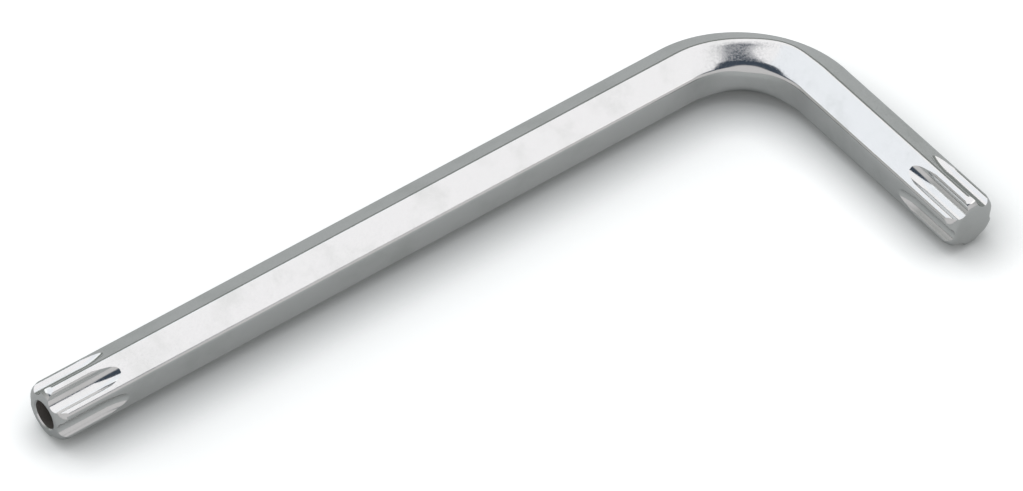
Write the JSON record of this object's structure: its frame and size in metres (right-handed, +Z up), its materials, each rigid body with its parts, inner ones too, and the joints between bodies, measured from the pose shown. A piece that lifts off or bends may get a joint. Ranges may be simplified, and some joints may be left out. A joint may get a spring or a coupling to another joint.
{
  "type": "star-drive key",
  "caption": "L-shaped star-drive key bent from hex bar, with a fluted star drive on each arm and a pin hole in the long arm's tip.",
  "frame": {"origin": "bottom centre of the key's box as it lies: midway along both reaches, at the surface it lies on", "axes": "+X along the long arm from its tip to the bend, the short arm points to -Y, +Z up from the surface that the key lies on"},
  "size_m": [0.0804, 0.0326, 0.0056],
  "materials": {
    "plated_steel": "bright plated steel with a soft satin haze"
  },
  "bodies": {
    "root": {"star_key": "plated_steel"}
  },
  "joints": []
}
